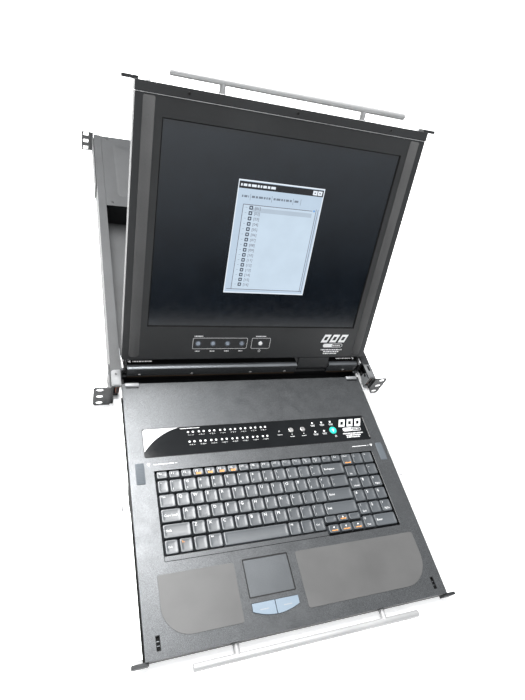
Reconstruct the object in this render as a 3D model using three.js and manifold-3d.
// A rack console that folds into one 1U slot: a keyboard module on telescopic slides, a 17 inch display
// lid hinged on its own sliding carriage above it, and a chassis with a 16-port switch in its rear bay.
// Millimetres. +X is to the user's right, +Y to the back of the rack and +Z up. Lengths along Y are
// measured from the plane of the rack ears, and the group is moved at the end so that the origin is the
// centre of the bottom of the bounding box. The console is modelled pulled out with its lid open.
import * as THREE from "three";
import { mergeVertices } from "three/addons/utils/BufferGeometryUtils.js";
import Module from "manifold-3d";

const wasm = await Module();
wasm.setup();

// ---- driving dimensions ------------------------------------------------------------------------------
const RACK_WIDTH = 482.6; // over the ears, 19 inches
const RACK_HOLE_X = 232.55; // half of the 465.1 between the two columns of rack holes
const RACK_HOLES_Z = [6.35, 22.225, 38.1];
const UNIT_HEIGHT = 44;
const CHASSIS_HALF = 217.5;
const CHASSIS_DEPTH = 650;
const BAY_DEPTH = 410; // the open front bay that the two modules slide into
const FLANGE_INNER = 203.3; // the folded top edges of the side walls reach in to here
const SHEET = 1.4;

const DECK_HALF = 200.6; // keyboard module
const DECK_FRONT = -337;
const DECK_BACK = 19.6;
const DECK_TOP = 21;
const KEY_TOP = 22.4;
const TRAY_FLOOR = 2.6;

const HINGE_Y = 41.2; // display lid
const HINGE_Z = 33.65;
const OPEN_ANGLE = 113.8; // degrees from folded flat; the lid is at its stop
const LID_HALF = 202;
const LID_THICK = 19.3;
const LID_START = 18; // from the hinge axis to the lid's lower edge
const LID_LENGTH = 348.9;
const SCREEN = { halfWidth: 169, low: 53, high: 326 }; // heights above the lid's lower edge

const ROD_RADIUS = 4.25; // pull handles
const POST_X = 98.5;
const POST_RADIUS = 3.8;
const KEYBOARD_TAB_REACH = 215; // flat tabs past the ends of the two front bars
const LID_TAB_REACH = 216.8;
const TRAVEL = 333;
const REAR_MOUNT_BACK = 659.5;
const HANDLE_FRONT = -355.5;

// ---- materials ---------------------------------------------------------------------------------------
const finish = (color, roughness, metalness = 0) =>
  new THREE.MeshStandardMaterial({ color, roughness, metalness });
const material = {
  chassis: finish(0x24262a, 0.6, 0.4),
  deck: finish(0x4a4f55, 0.55, 0.4),
  bezel: finish(0x33353a, 0.55),
  zinc: finish(0xb8bcc0, 0.35, 0.9),
  handle: finish(0xe8e8e6, 0.4, 0.3),
  key: finish(0x4b4e53, 0.7),
  black: finish(0x121315, 0.5),
  overlay: finish(0x15171b, 0.12),
  palm: finish(0x7c7f82, 0.85),
  touchpad: finish(0x5d646c, 0.6),
  click: finish(0xb5c6da, 0.4, 0.3),
  catch: finish(0x5b5f64, 0.6),
  button: finish(0x9aa7b4, 0.35, 0.4),
  teal: finish(0x2fd0bb, 0.3),
  screen: finish(0x10151b, 0.15),
  strip: finish(0x5d5d5f, 0.9),
  board: finish(0x1d5a34, 0.6),
  socket: finish(0x17181a, 0.5),
};

// ---- solids ------------------------------------------------------------------------------------------
// A closed three.js geometry as a manifold-3d solid.
function solidOf(geometry) {
  const bare = geometry.clone();
  bare.deleteAttribute("normal");
  bare.deleteAttribute("uv");
  const merged = mergeVertices(bare, 1e-4);
  return new wasm.Manifold(
    new wasm.Mesh({
      numProp: 3,
      vertProperties: new Float32Array(merged.attributes.position.array),
      triVerts: new Uint32Array(merged.index.array),
    }),
  );
}

function geometryOf(solid) {
  const { vertProperties, triVerts } = solid.getMesh();
  const geometry = new THREE.BufferGeometry();
  geometry.setAttribute("position", new THREE.BufferAttribute(vertProperties, 3));
  geometry.setIndex(new THREE.BufferAttribute(triVerts, 1));
  return geometry;
}

// A block between two corners, given as [low, high] along each axis.
function block([x0, x1], [y0, y1], [z0, z1]) {
  const geometry = new THREE.BoxGeometry(1, 1, 1);
  const points = geometry.attributes.position;
  for (let i = 0; i < points.count; i += 1) {
    const x = points.getX(i) < 0 ? x0 : x1;
    const y = points.getY(i) < 0 ? y0 : y1;
    const z = points.getZ(i) < 0 ? z0 : z1;
    points.setXYZ(i, x, y, z);
  }
  return solidOf(geometry);
}

// A round bar along one axis, from one coordinate to the other, centred on the other two.
function bar(axis, [from, to], [a, b], radius, sides = 24) {
  const geometry = new THREE.CylinderGeometry(radius, radius, to - from, sides);
  const middle = (from + to) / 2;
  if (axis === "x") geometry.rotateZ(Math.PI / 2).translate(middle, a, b);
  if (axis === "y") geometry.translate(a, middle, b);
  if (axis === "z") geometry.rotateX(Math.PI / 2).translate(a, b, middle);
  return solidOf(geometry);
}

// A flat outline drawn in X and Y, given a height along Z.
function slab(shape, [z0, z1], curveSegments = 6) {
  const geometry = new THREE.ExtrudeGeometry(shape, { depth: z1 - z0, bevelEnabled: false, curveSegments });
  return solidOf(geometry.translate(0, 0, z0));
}

const vectors = (points) => points.map(([a, b]) => new THREE.Vector2(a, b));

// An outline given as points in X and Z, with a thickness along Y.
function plateAcross(points, [y0, y1]) {
  const shape = new THREE.Shape(vectors(points));
  const geometry = new THREE.ExtrudeGeometry(shape, { depth: y1 - y0, bevelEnabled: false });
  return solidOf(geometry.rotateX(Math.PI / 2).translate(0, y1, 0));
}

// An outline given as points in Y and Z, with a length along X.
function profileAlong(points, [x0, x1]) {
  const shape = new THREE.Shape(vectors(points));
  const geometry = new THREE.ExtrudeGeometry(shape, { depth: x1 - x0, bevelEnabled: false });
  return solidOf(geometry.rotateX(Math.PI / 2).rotateZ(Math.PI / 2).translate(x0, 0, 0));
}

// An outline symmetrical about X = 0, from the points of its right-hand half.
const bothHalves = (points) => [...points, ...points.map(([x, z]) => [-x, z]).reverse()];

// A rectangle whose corners have their own radii: low left, low right, high right, high left.
function roundedRectangle([x0, x1], [y0, y1], [lowLeft, lowRight, highRight, highLeft]) {
  const shape = new THREE.Shape();
  shape.moveTo(x0 + lowLeft, y0);
  shape.lineTo(x1 - lowRight, y0);
  shape.absarc(x1 - lowRight, y0 + lowRight, lowRight, -Math.PI / 2, 0);
  shape.lineTo(x1, y1 - highRight);
  shape.absarc(x1 - highRight, y1 - highRight, highRight, 0, Math.PI / 2);
  shape.lineTo(x0 + highLeft, y1);
  shape.absarc(x0 + highLeft, y1 - highLeft, highLeft, Math.PI / 2, Math.PI);
  shape.lineTo(x0, y0 + lowLeft);
  shape.absarc(x0 + lowLeft, y0 + lowLeft, lowLeft, Math.PI, 1.5 * Math.PI);
  return shape;
}

const join = (...solids) => solids.flat().reduce((whole, next) => whole.add(next));
const cut = (body, ...tools) => tools.flat().reduce((whole, tool) => whole.subtract(tool), body);
const grow = ([low, high], by) => [low - by, high + by];

function place(group, name, solid, look) {
  const mesh = new THREE.Mesh(geometryOf(solid), look);
  mesh.name = name;
  group.add(mesh);
  return mesh;
}

// A piece drawn on the right-hand side, and its mirror image on the left.
function placePair(group, name, solid, look) {
  place(group, `right_${name}`, solid, look);
  place(group, `left_${name}`, solid, look).scale.x = -1;
}

// ---- chassis -----------------------------------------------------------------------------------------
const PORT_COLUMNS = 8;
const PORT_PITCH = 32.5;
const PORT_CENTRE_X = 12;
const PORT_ROWS_Z = [12, 31.5];
const PORT_SHELL = { width: 17, height: 8.4, reach: 6 };
const INLET = { x: 190, z: 22, width: 28, height: 23, mouthWidth: 24.4, mouthHeight: 16.8, depth: 17 };
const ROCKER = { x: 154.5, z: 22, width: 11, height: 19 };
const LAN = { x: -186, z: 14, width: 16, height: 13.4, mouthWidth: 12, mouthHeight: 8, depth: 12 };
const CONSOLE = { vgaX: -140, usbX: -166, z: 14 };
const REAR_WALL = [CHASSIS_DEPTH - SHEET - 0.2, CHASSIS_DEPTH - 0.2];
const WALL_CUT = grow(REAR_WALL, 1);

const portCentres = [];
for (const z of PORT_ROWS_Z)
  for (let column = 0; column < PORT_COLUMNS; column += 1)
    portCentres.push([PORT_CENTRE_X + (column - (PORT_COLUMNS - 1) / 2) * PORT_PITCH, z]);

// A block centred on x and z, of a width and a height, over a stretch of Y.
const window = (x, z, width, height, span) =>
  block([x - width / 2, x + width / 2], span, [z - height / 2, z + height / 2]);

function chassisPan() {
  const inner = CHASSIS_HALF - SHEET;
  const under = UNIT_HEIGHT - SHEET;
  const halfOutline = [
    [CHASSIS_HALF, 0], [CHASSIS_HALF, UNIT_HEIGHT], [FLANGE_INNER, UNIT_HEIGHT],
    [FLANGE_INNER, under], [inner, under], [inner, SHEET],
  ];
  const pan = plateAcross(bothHalves(halfOutline), [0, CHASSIS_DEPTH]);
  const rear = block([-CHASSIS_HALF + 0.7, CHASSIS_HALF - 0.7], REAR_WALL, [0.7, under - 0.5]);
  const portWindow = (x, z) => window(x, z, PORT_SHELL.width + 2, PORT_SHELL.height + 2, WALL_CUT);
  const ports = portCentres.map(([x, z]) => portWindow(x, z));
  const others = [
    window(INLET.x, INLET.z, INLET.width + 0.8, INLET.height + 0.8, WALL_CUT),
    window(ROCKER.x, ROCKER.z, ROCKER.width + 1, ROCKER.height + 1, WALL_CUT),
    window(LAN.x, LAN.z, LAN.width + 0.8, LAN.height + 0.8, WALL_CUT),
    portWindow(CONSOLE.vgaX, CONSOLE.z),
    window(CONSOLE.usbX, CONSOLE.z, 15, 15.6, WALL_CUT),
  ];
  return cut(join(pan, rear), ports, others, sideVents());
}

// A row of upright slots through both side walls, beside the power supply and the switch board.
function sideVents() {
  const slots = 9;
  const pitch = 13;
  const start = 520;
  return Array.from({ length: slots }, (_, i) =>
    block([-CHASSIS_HALF - 1, CHASSIS_HALF + 1], [start + i * pitch, start + i * pitch + 4], [12, 32]),
  );
}

const WING_REACH = 206.9;

// The rear bay's lid: a plate between the two flanges, with wings that step down and reach under them, and a
// bulkhead across the bay's front.
function rearCover() {
  const edge = FLANGE_INNER - 0.4;
  const wingTop = UNIT_HEIGHT - SHEET - 0.3;
  const halfOutline = [
    [edge - SHEET, UNIT_HEIGHT - SHEET], [edge - SHEET, wingTop - SHEET], [WING_REACH, wingTop - SHEET],
    [WING_REACH, wingTop], [edge, wingTop], [edge, UNIT_HEIGHT],
  ];
  const top = plateAcross(bothHalves(halfOutline), [BAY_DEPTH, CHASSIS_DEPTH - 2]);
  const bulkheadSpan = [BAY_DEPTH + 0.5, BAY_DEPTH + 0.5 + SHEET];
  const bulkhead = block([-200, 200], bulkheadSpan, [SHEET + 0.4, UNIT_HEIGHT - 0.7]);
  return join(top, bulkhead);
}

function rackEar() {
  const outer = RACK_WIDTH / 2;
  const inner = CHASSIS_HALF + 0.3;
  const outline = [
    [inner, 0.4], [outer - 3, 0.4], [outer, 3.4], [outer, 40.6], [outer - 3, 43.6], [inner, 43.6],
  ];
  const face = plateAcross(outline, [-2, 0]);
  const side = block([inner, inner + 1.8], [-1, 42], [4, 40]);
  return cut(join(face, side), RACK_HOLES_Z.map(rackSlot));
}

// A rack screw's slot, 10 by 6.8.
function rackSlot(z) {
  const radius = 3.4;
  const span = [-4, 4];
  const reach = 1.6;
  return join(
    bar("y", span, [RACK_HOLE_X - reach, z], radius, 16),
    bar("y", span, [RACK_HOLE_X + reach, z], radius, 16),
    block([RACK_HOLE_X - reach, RACK_HOLE_X + reach], span, [z - radius, z + radius]),
  );
}

function rearMount() {
  const inner = CHASSIS_HALF + 0.5;
  const side = block([inner, inner + 1.8], [480, REAR_MOUNT_BACK], [5, 39]);
  const ear = block([inner, RACK_WIDTH / 2], [REAR_MOUNT_BACK - 1.8, REAR_MOUNT_BACK], [1, 43]);
  const slots = RACK_HOLES_Z.map((z) =>
    block([RACK_HOLE_X - 5, RACK_HOLE_X + 5], [REAR_MOUNT_BACK - 4, REAR_MOUNT_BACK + 2], [z - 3.4, z + 3.4]),
  );
  const clampSlot = block([inner - 1, inner + 3], [500, 620], [19.5, 24.5]);
  return cut(join(side, ear), slots, clampSlot);
}

// A rolled slide member: an upright web with one or more channels whose lips reach to lipX, each channel
// given as [low, high] from the bottom upwards.
function slideMember(lipX, [webNear, webFar], channels, span, lip = 1.2) {
  const top = channels.at(-1)[1];
  const mouths = channels.toReversed().flatMap(([low, high]) => [
    [webNear, high], [lipX, high], [lipX, high - lip], [webNear, high - lip],
    [webNear, low + lip], [lipX, low + lip], [lipX, low], [webNear, low],
  ]);
  return plateAcross([[webFar, channels[0][0]], [webFar, top], ...mouths], span);
}

// The fixed member carries a channel for the keyboard's slide below one for the display's.
const outerRail = () => slideMember(207.5, [214.1, 215.7], [[2, 21.5], [24.5, 42]], [1, 500]);
const middleRail = () => slideMember(204.5, [212, 213.3], [[4, 19.5]], [2.5 - TRAVEL / 2, 216]);

function buildChassis(root) {
  place(root, "chassis_pan", chassisPan(), material.chassis);
  place(root, "rear_cover", rearCover(), material.chassis);
  placePair(root, "rack_ear", rackEar(), material.chassis);
  placePair(root, "outer_rail", outerRail(), material.zinc);
  placePair(root, "middle_rail", middleRail(), material.zinc);
  placePair(root, "rear_mount", rearMount(), material.chassis);
}

// ---- rear bay: switch board, power supply and sockets --------------------------------------------------
function portBank() {
  const halfWidth = (PORT_COLUMNS * PORT_PITCH) / 2;
  const body = block([PORT_CENTRE_X - halfWidth, PORT_CENTRE_X + halfWidth], [632, 646], [6.5, 38]);
  return join(body, portCentres.map(([x, z]) => connectorShell(x, z)));
}

// A 15-pin socket's tapered metal shell.
function connectorShell(x, z) {
  const [w, h] = [PORT_SHELL.width / 2, PORT_SHELL.height / 2];
  const outline = [[x - w + 1.2, z - h], [x + w - 1.2, z - h], [x + w, z + h], [x - w, z + h]];
  return plateAcross(outline, [CHASSIS_DEPTH - 8, CHASSIS_DEPTH + PORT_SHELL.reach]);
}

function consolePorts() {
  const body = block([CONSOLE.vgaX - 15.5, CONSOLE.vgaX + 15.5], [634, 646], [7, 21]);
  const usbSpan = [CONSOLE.usbX - 6.6, CONSOLE.usbX + 6.6];
  const usb = block(usbSpan, [634, CHASSIS_DEPTH + 1.5], [CONSOLE.z - 7, CONSOLE.z + 7]);
  const link = block([CONSOLE.usbX, CONSOLE.vgaX], [634, 640], [7, 12]);
  return join(body, usb, link, connectorShell(CONSOLE.vgaX, CONSOLE.z));
}

function lanJack() {
  const body = window(LAN.x, LAN.z, LAN.width, LAN.height, [CHASSIS_DEPTH - 18, CHASSIS_DEPTH + 1]);
  const mouth = window(LAN.x, LAN.z, LAN.mouthWidth, LAN.mouthHeight, [
    CHASSIS_DEPTH + 1 - LAN.depth,
    CHASSIS_DEPTH + 3,
  ]);
  return cut(body, mouth);
}

function powerInlet() {
  const body = window(INLET.x, INLET.z, INLET.width, INLET.height, [CHASSIS_DEPTH - 22, CHASSIS_DEPTH + 1]);
  const rimSpan = [CHASSIS_DEPTH + 0.3, CHASSIS_DEPTH + 2.3];
  const rim = window(INLET.x, INLET.z, INLET.width + 4, INLET.height + 3, rimSpan);
  const mouth = window(INLET.x, INLET.z, INLET.mouthWidth, INLET.mouthHeight, [
    CHASSIS_DEPTH + 2.3 - INLET.depth,
    CHASSIS_DEPTH + 4,
  ]);
  return cut(join(body, rim), mouth);
}

// A rocker switch's key: two shallow slopes that meet at a ridge, tapering to its pivot inside the wall.
function powerRocker() {
  const outline = [[-1.2, -7.4], [-6, -6], [-9, 0], [-6, 6], [2.9, 7.4], [0.4, 0]];
  const placed = outline.map(([y, z]) => [CHASSIS_DEPTH + y, ROCKER.z + z]);
  const halfWidth = (ROCKER.width - 1) / 2;
  return profileAlong(placed, [ROCKER.x - halfWidth, ROCKER.x + halfWidth]);
}

function buildRearBay(root) {
  place(root, "switch_board", block([-196, 148], [430, 628], [5, 6.6]), material.board);
  place(root, "power_supply", block([155, 200], [440, 600], [4, 36]), material.zinc);
  place(root, "computer_port_bank", portBank(), material.zinc);
  place(root, "console_ports", consolePorts(), material.zinc);
  place(root, "lan_jack", lanJack(), material.zinc);
  place(root, "power_inlet", powerInlet(), material.socket);
  place(root, "power_rocker", powerRocker(), material.black);
}

// ---- keyboard module -----------------------------------------------------------------------------------
const KEYS = {
  left: -167.4,
  right: 111.2, // right edge of the main block
  gap: 1.1,
  rowPitch: 19.45,
  columnPitch: 18.95,
  functionRowTop: -123.3,
  functionRowDepth: 11.2,
  firstRowTop: -136,
  padLeft: 111.6,
  padPitch: 18.55,
  padTop: -123.3,
  padRowPitch: 19.25,
};
const KEY_BASE = 15.6; // top of the web that joins the key stems
const RECESS = { left: -168.8, right: 169.8, step: 54.4, top: -121.4, bottom: -231.9, stepBottom: -239.4 };
const PANEL = { x: [-179.2, 178.6], y: [-101.4, -57.8], corners: [3, 3, 3, 3] };
const PANEL_BUTTONS = { x: [44.1, 63.9], y: -75.2, radius: 4.1 };
const POWER_LIGHT = { x: 115.4, y: -81, radius: 6.1 };
const TOUCHPAD = { x: [-73.4, -13.1], y: [-295.4, -251] };
const CLICK = { x: [-73.2, -11.8], split: -43, top: -301.8, side: -311.6, bottom: -318.2 };
const PALM_LEFT = { x: [-179.2, -85.2], y: [-319.8, -252.1], corners: [34, 3, 3, 3] };
const PALM_RIGHT = { x: [-1.6, 183.2], y: [-319.6, -251.2], corners: [3, 38, 3.5, 3] };
const CATCH = { x: [181, 192.6], y: [-138.5, -108.8] };
const STOP_SLOT = { x: [183.6, 187.4], y: [-328.5, -314.4] };
const HOLE_GAP = 0.4;

// A key: a block whose top is smaller than its foot and sits towards the back.
function keycap([x0, x1], [y0, y1], base = KEY_BASE - 0.5) {
  const geometry = new THREE.BoxGeometry(x1 - x0, y1 - y0, KEY_TOP - base);
  geometry.translate((x0 + x1) / 2, (y0 + y1) / 2, (KEY_TOP + base) / 2);
  const points = geometry.attributes.position;
  for (let i = 0; i < points.count; i += 1) {
    if (points.getZ(i) < (KEY_TOP + base) / 2) continue;
    points.setX(i, points.getX(i) + (points.getX(i) < (x0 + x1) / 2 ? 2 : -1.4));
    points.setY(i, points.getY(i) + (points.getY(i) < (y0 + y1) / 2 ? 2.6 : -0.8));
  }
  return solidOf(geometry);
}

// One row of keys from its dividing lines; each key keeps half a gap on either side.
function keyRow(lines, top, depth) {
  const half = KEYS.gap / 2;
  return lines.slice(1).map((right, i) => keycap([lines[i] + half, right - half], [top - depth, top]));
}

const evenly = (count, from, pitch) => Array.from({ length: count }, (_, i) => from + i * pitch);

function keycaps() {
  const { left, right, columnPitch, rowPitch, firstRowTop } = KEYS;
  const depth = rowPitch - KEYS.gap;
  const rowTop = (row) => firstRowTop - row * rowPitch;
  const lettersBefore = (line, count) => evenly(count + 1, line - count * columnPitch, columnPitch);
  const functionPitch = (right - left) / 17;
  const rows = [
    keyRow(evenly(18, left, functionPitch), KEYS.functionRowTop, KEYS.functionRowDepth),
    keyRow([left, ...evenly(13, -151.6, 18.7), right], rowTop(0), depth),
    keyRow([left, ...lettersBefore(82.2, 12), right], rowTop(1), depth),
    keyRow([left, ...lettersBefore(68.4, 11), right], rowTop(2), depth),
    keyRow([left, ...lettersBefore(59, 10), right], rowTop(3), depth),
    keyRow([left, -149, -131, -112.2, SPACE.x[0]], rowTop(4), depth),
    keyRow([SPACE.x[1], 16.3, 34.8, 53.2], rowTop(4), depth),
    keyRow([53.2, 73.2, 91.6, right], rowTop(4) + 1, 10.4),
    keyRow([54.8, 73.2, 92.6, right], rowTop(4) - 11.4, 12.2),
  ];
  const pad = [0, 1, 2, 3, 4, 5].map((row) => {
    const columns = evenly(4, KEYS.padLeft, KEYS.padPitch);
    const lines = row === 5 ? [columns[0], columns[1], columns[3]] : columns;
    return keyRow(lines, KEYS.padTop - row * KEYS.padRowPitch, KEYS.padRowPitch - KEYS.gap);
  });
  const webHeight = [14.6, KEY_BASE];
  const webBack = RECESS.top - 1.4;
  const webRight = RECESS.right - 1.4;
  const web = block([RECESS.left + 1.4, webRight], [RECESS.bottom + 0.8, webBack], webHeight);
  const stepWeb = block([RECESS.step + 1, webRight], [RECESS.stepBottom + 0.8, webBack], webHeight);
  return join(web, stepWeb, ...rows, ...pad);
}

const SPACE = { x: [-92.6, -1.8], base: 18.5 };

function spaceBar() {
  const top = KEYS.firstRowTop - 4 * KEYS.rowPitch;
  const depth = KEYS.rowPitch - KEYS.gap;
  return keycap(grow(SPACE.x, -KEYS.gap / 2), [top - depth, top], SPACE.base);
}

// The outline of both click buttons together: straight above, bowed below.
function clickOutline(inset) {
  const shape = new THREE.Shape();
  const [x0, x1] = grow(CLICK.x, -inset);
  shape.moveTo(x0, CLICK.top - inset);
  shape.lineTo(x0, CLICK.side + inset);
  shape.quadraticCurveTo((x0 + x1) / 2, 2 * CLICK.bottom - CLICK.side + inset, x1, CLICK.side + inset);
  shape.lineTo(x1, CLICK.top - inset);
  shape.closePath();
  return shape;
}

function clickButton([x0, x1]) {
  const both = slab(clickOutline(HOLE_GAP), [16, DECK_TOP + 0.4], 16);
  return both.intersect(block([x0, x1], [CLICK.bottom - 5, CLICK.top + 5], [0, 40]));
}

function deckPlate() {
  const under = DECK_TOP - SHEET;
  const skirt = DECK_HALF - 1.2;
  const halfOutline = [[DECK_HALF, DECK_TOP], [DECK_HALF, 9], [skirt, 9], [skirt, under]];
  const sheet = plateAcross(bothHalves(halfOutline), [DECK_FRONT, DECK_BACK]);
  const through = [DECK_TOP - 3, DECK_TOP + 3];
  const panelOutline = roundedRectangle(grow(PANEL.x, 0.3), grow(PANEL.y, 0.3), PANEL.corners);
  const tools = [
    block([RECESS.left, RECESS.step + 1], [RECESS.bottom, RECESS.top], through),
    block([RECESS.step, RECESS.right], [RECESS.stepBottom, RECESS.top], through),
    block(TOUCHPAD.x, TOUCHPAD.y, through),
    slab(clickOutline(0), through, 16),
    slab(panelOutline, [DECK_TOP - 0.5, DECK_TOP + 1]),
    ...PANEL_BUTTONS.x.map((x) => bar("z", through, [x, PANEL_BUTTONS.y], PANEL_BUTTONS.radius + HOLE_GAP)),
    bar("z", through, [POWER_LIGHT.x, POWER_LIGHT.y], POWER_LIGHT.radius + HOLE_GAP),
  ];
  for (const side of [-1, 1]) {
    const sorted = ([a, b]) => [side * a, side * b].sort((p, q) => p - q);
    tools.push(block(sorted(STOP_SLOT.x), STOP_SLOT.y, through));
    tools.push(block(sorted([184, 189.6]), [-134.4, -118], through));
    tools.push(block(sorted([176.5, 195.5]), [11.6, 13.4], through));
    const skirtEnd = [DECK_FRONT - 1, DECK_FRONT + 4];
    tools.push(block(sorted([DECK_HALF - 2, DECK_HALF + 1]), skirtEnd, [8, under + 0.3]));
  }
  return cut(sheet, tools);
}

function keyboardTray() {
  const half = DECK_HALF - 1.6;
  const [front, back] = [DECK_FRONT + 4, 40];
  const outer = block([-half, half], [front, back], [TRAY_FLOOR, DECK_TOP - SHEET - 0.4]);
  const floor = TRAY_FLOOR + 1.2;
  const inside = block([SHEET - half, half - SHEET], [front + SHEET, back - SHEET], [floor, 30]);
  const lowBack = block([-half - 1, half + 1], [back - 10, back + 1], [15, 30]);
  return cut(outer, inside, lowBack);
}

// The bar across the module's front, with a flat tab past each end that covers the ends of the rails.
function keyboardFrontBar() {
  const body = block([-DECK_HALF, DECK_HALF], [DECK_FRONT, DECK_FRONT + 3.4], [2.2, DECK_TOP - SHEET - 0.3]);
  const tabSpan = [DECK_FRONT - 3.4, DECK_FRONT + 0.6];
  const tab = block([DECK_HALF - 4, KEYBOARD_TAB_REACH], tabSpan, [6, 18.6]);
  const otherTab = block([-KEYBOARD_TAB_REACH, 4 - DECK_HALF], tabSpan, [6, 18.6]);
  return join(body, tab, otherTab);
}

// A straight rod on two posts, drawn along X with the posts reaching back along Y.
function pullHandle(length, rodY, postBack, z) {
  const rod = bar("x", [-length / 2, length / 2], [rodY, z], ROD_RADIUS);
  const reach = [rodY, postBack].sort((a, b) => a - b);
  const posts = [-POST_X, POST_X].map((x) => bar("y", reach, [x, z], POST_RADIUS, 20));
  return join(rod, posts);
}

function catchSlider() {
  const cap = block(CATCH.x, CATCH.y, [DECK_TOP + 0.2, DECK_TOP + 1]);
  const stem = block([184.6, 189], [-128.4, -120.4], [15, DECK_TOP + 1]);
  return join(cap, stem);
}

function statusOverlay() {
  const film = slab(roundedRectangle(PANEL.x, PANEL.y, PANEL.corners), [DECK_TOP - 0.4, DECK_TOP + 0.15]);
  const holes = PANEL_BUTTONS.x.map((x) =>
    bar("z", [15, 25], [x, PANEL_BUTTONS.y], PANEL_BUTTONS.radius + HOLE_GAP),
  );
  const lightHole = bar("z", [15, 25], [POWER_LIGHT.x, POWER_LIGHT.y], POWER_LIGHT.radius + HOLE_GAP);
  return cut(film, holes, lightHole);
}

function keyboardSlide() {
  return slideMember(210.9, [202.4, 201], [[6.2, 17.3]], [DECK_FRONT + 4, 30]);
}

function buildKeyboard(root) {
  place(root, "keyboard_tray", keyboardTray(), material.chassis);
  place(root, "keyboard_deck", deckPlate(), material.deck);
  place(root, "keyboard_front_bar", keyboardFrontBar(), material.chassis);
  const handle = pullHandle(300, HANDLE_FRONT + ROD_RADIUS, DECK_FRONT - 0.3, 13);
  place(root, "keyboard_handle", handle, material.handle);
  const basePlate = [RECESS.stepBottom + 0.6, RECESS.top - 1];
  const base = block([RECESS.left + 1, RECESS.right - 1], basePlate, [12.4, 14.3]);
  place(root, "key_base_plate", base, material.black);
  place(root, "keycaps", keycaps(), material.key);
  place(root, "space_bar", spaceBar(), material.key);
  const pad = block(grow(TOUCHPAD.x, -HOLE_GAP), grow(TOUCHPAD.y, -HOLE_GAP), [17.2, DECK_TOP - 0.6]);
  place(root, "touchpad", pad, material.touchpad);
  place(root, "left_click_button", clickButton([CLICK.x[0] - 1, CLICK.split - 0.4]), material.click);
  place(root, "right_click_button", clickButton([CLICK.split + 0.4, CLICK.x[1] + 1]), material.click);
  const leftPalm = roundedRectangle(PALM_LEFT.x, PALM_LEFT.y, PALM_LEFT.corners);
  const rightPalm = roundedRectangle(PALM_RIGHT.x, PALM_RIGHT.y, PALM_RIGHT.corners);
  place(root, "left_palm_rest", slab(leftPalm, [DECK_TOP + 0.1, DECK_TOP + 0.5], 10), material.palm);
  place(root, "right_palm_rest", slab(rightPalm, [DECK_TOP + 0.1, DECK_TOP + 0.5], 10), material.palm);
  place(root, "status_overlay", statusOverlay(), material.overlay);
  placePair(root, "keyboard_catch", catchSlider(), material.catch);
  PANEL_BUTTONS.x.forEach((x, i) => {
    const button = bar("z", [12.6, DECK_TOP + 1.1], [x, PANEL_BUTTONS.y], PANEL_BUTTONS.radius);
    place(root, ["port_down_button", "port_up_button"][i], button, material.button);
  });
  const light = bar("z", [12.6, DECK_TOP + 1], [POWER_LIGHT.x, POWER_LIGHT.y], POWER_LIGHT.radius);
  place(root, "power_light_button", light, material.teal);
  place(root, "indicator_board", block([-125, 130], [-100, -60], [9, 10.6]), material.board);
  placePair(root, "keyboard_slide", keyboardSlide(), material.zinc);
}

// ---- display carriage ----------------------------------------------------------------------------------
const CARRIAGE = { front: 30.5, lipBack: 40, back: 70, floor: [22.9, 24.1], wallHalf: 203, lipEnd: 193.5 };
const NECK = { x: [80.9, 137.2], clearance: 1.6, notchBack: 58.5 };
const PIN_RADIUS = 3;
const PIN_HOLE = 3.2;
const LUG = [191.6, 194.2];
const HINGE_AXIS = [HINGE_Y, HINGE_Z];

function carriage() {
  const { front, lipBack, back, floor, wallHalf, lipEnd } = CARRIAGE;
  const notch = grow(NECK.x, NECK.clearance);
  const top = [40.8, 42.2];
  const base = block([-wallHalf, wallHalf], [front, back], floor);
  const frontWall = block([-lipEnd, lipEnd], [front, front + SHEET], [floor[0], top[1]]);
  const lid = block([-190, 190], [front, 62], top);
  const lip = block([-lipEnd, lipEnd], [front, lipBack], top);
  const sides = [-1, 1].map((side) => {
    const sorted = ([a, b]) => [side * a, side * b].sort((p, q) => p - q);
    const wall = block(sorted([wallHalf - 1.5, wallHalf]), [front + 1, back], [floor[0], 42]);
    const lug = block(sorted(LUG), [33, 50], [floor[0], top[1]]);
    return join(wall, lug);
  });
  const body = join(base, frontWall, lid, lip, ...sides);
  const pinHole = bar("x", [LUG[0] - 1, LUG[1] + 1], HINGE_AXIS, PIN_HOLE);
  const otherPinHole = bar("x", [-LUG[1] - 1, 1 - LUG[0]], HINGE_AXIS, PIN_HOLE);
  return cut(body, block(notch, [front - 1, NECK.notchBack], [20, 45]), pinHole, otherPinHole);
}

function hingePin() {
  return join(bar("x", [190.5, 201.2], HINGE_AXIS, PIN_RADIUS), bar("x", [189, 191.2], HINGE_AXIS, 4.6));
}

function carriageSlide() {
  return slideMember(213.2, [204.7, 203.4], [[26.5, 40]], [CARRIAGE.front, 150]);
}

// The steel tab beside each hinge that is pushed back to free the carriage.
function carriageCatch() {
  return join(block([199.4, 201], [33, 44], [37.6, 43.8]), block([199.4, 201], [33, 58], [37.6, 39.4]));
}

function buildCarriage(root) {
  place(root, "display_carriage", carriage(), material.deck);
  placePair(root, "carriage_slide", carriageSlide(), material.zinc);
  placePair(root, "hinge_pin", hingePin(), material.zinc);
  placePair(root, "carriage_catch", carriageCatch(), material.zinc);
}

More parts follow.
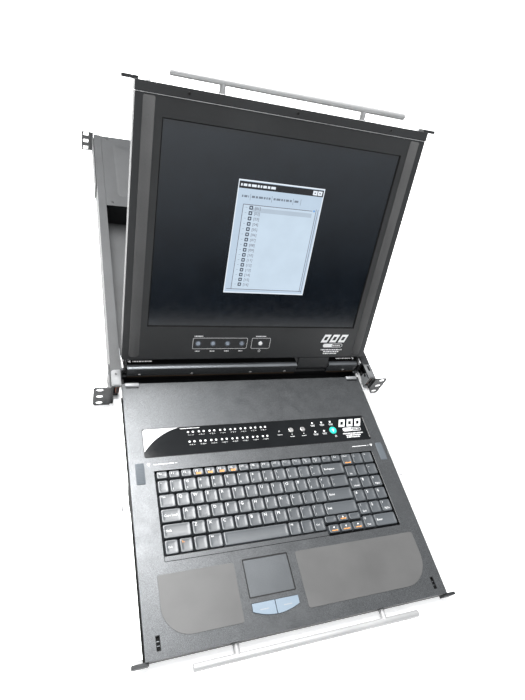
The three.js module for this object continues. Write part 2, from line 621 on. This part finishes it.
// ---- display lid ----------------------------------------------------------------------------------------
// Drawn in its own frame, with its origin on the hinge axis, +Y up the lid and +Z out of the screen.
const LID_FACE = LID_THICK / 2;
const LID_TOP = LID_START + LID_LENGTH;
const BEZEL_BACK = LID_FACE - 1.5;
const MENU_BUTTONS_X = [-92.1, -69.2, -46.3, -23.4];
const DISPLAY_POWER_X = 7.5;
const LID_BUTTON_Y = LID_START + 25.7;
const LID_BUTTON_RADIUS = 3.2;
const ARM_X = [195.5, 198.5];
const STRIP_X = [178.3, 192.6]; // soft strips that the closed lid rests on
const FRONT_BAR = [LID_TOP + 0.5, LID_TOP + 12];

function lidBackCover() {
  const outer = block([-LID_HALF, LID_HALF], [LID_START, LID_TOP], [-LID_FACE, BEZEL_BACK - 0.4]);
  const inside = block(
    [SHEET - LID_HALF, LID_HALF - SHEET],
    [LID_START + SHEET, LID_TOP - SHEET],
    [SHEET - LID_FACE, LID_FACE + 5],
  );
  const lowerWall = [LID_START - 1, LID_START + SHEET + 1];
  const armNotch = block(grow(ARM_X, 0.4), lowerWall, [-5.4, 5.4]);
  const otherArmNotch = block([-ARM_X[1] - 0.4, 0.4 - ARM_X[0]], lowerWall, [-5.4, 5.4]);
  const neckNotch = block([94.6, 123.4], lowerWall, [-5.4, 5.4]);
  return cut(outer, inside, armNotch, otherArmNotch, neckNotch);
}

function bezel() {
  const plate = block([-LID_HALF, LID_HALF], [LID_START, LID_TOP], [BEZEL_BACK, LID_FACE]);
  const opening = block(
    [-SCREEN.halfWidth, SCREEN.halfWidth],
    [LID_START + SCREEN.low, LID_START + SCREEN.high],
    [0, LID_FACE + 5],
  );
  const holes = [...MENU_BUTTONS_X, DISPLAY_POWER_X].map((x) =>
    bar("z", [0, LID_FACE + 5], [x, LID_BUTTON_Y], LID_BUTTON_RADIUS + 0.6),
  );
  return cut(plate, opening, holes);
}

// The hollow neck that carries the display's cable down to the hinge line.
function cableNeck() {
  const knuckle = bar("x", NECK.x, [0, 0], LID_FACE, 32);
  const face = block(NECK.x, [0, LID_START - 0.5], [-LID_FACE, LID_FACE]);
  const tongue = block([95, 123], [LID_START - 1, LID_START + 24], [-5, 5]);
  return join(knuckle, face, tongue);
}

function hingeArm() {
  const round = bar("x", ARM_X, [0, 0], 8);
  const arm = block(ARM_X, [0, LID_START + 42], [-5, 5]);
  return cut(join(round, arm), bar("x", grow(ARM_X, 1), [0, 0], PIN_HOLE));
}

function lidFrontBar() {
  const half = LID_HALF + 0.5;
  const body = block([-half, half], FRONT_BAR, [-LID_FACE, LID_FACE + 1]);
  const tabY = [FRONT_BAR[1] - 0.6, FRONT_BAR[1] + 3.4];
  const tab = block([half - 4.5, LID_TAB_REACH], tabY, [-7, 5.6]);
  const otherTab = block([-LID_TAB_REACH, 4.5 - half], tabY, [-7, 5.6]);
  return join(body, tab, otherTab);
}

function buildLid(root) {
  const lid = new THREE.Group();
  lid.position.set(0, HINGE_Y, HINGE_Z);
  lid.rotation.x = THREE.MathUtils.degToRad(180 - OPEN_ANGLE);
  root.add(lid);
  place(lid, "display_back_cover", lidBackCover(), material.chassis);
  place(lid, "display_bezel", bezel(), material.bezel);
  const panel = block([-178, 178], [LID_START + 45, LID_START + 333], [0, BEZEL_BACK - 0.5]);
  place(lid, "screen_panel", panel, material.screen);
  place(lid, "cable_neck", cableNeck(), material.bezel);
  placePair(lid, "hinge_arm", hingeArm(), material.zinc);
  place(lid, "display_front_bar", lidFrontBar(), material.bezel);
  const handle = pullHandle(328.6, FRONT_BAR[1] + 13.7, FRONT_BAR[1] + 0.3, 0);
  place(lid, "display_handle", handle, material.handle);
  const strip = block(STRIP_X, [LID_START + 4.5, LID_TOP - 2], [LID_FACE + 0.3, LID_FACE + 0.8]);
  placePair(lid, "bumper_strip", strip, material.strip);
  MENU_BUTTONS_X.forEach((x, i) => {
    place(lid, `menu_button_${i + 1}`, lidButton(x), material.button);
  });
  place(lid, "display_power_button", lidButton(DISPLAY_POWER_X), material.handle);
}

const lidButton = (x) => bar("z", [3, LID_FACE + 0.8], [x, LID_BUTTON_Y], LID_BUTTON_RADIUS);

// ---- the whole console -----------------------------------------------------------------------------------
const console1U = new THREE.Group();
buildChassis(console1U);
buildRearBay(console1U);
buildKeyboard(console1U);
buildCarriage(console1U);
buildLid(console1U);
console1U.position.y = -(HANDLE_FRONT + REAR_MOUNT_BACK) / 2;

export default console1U;
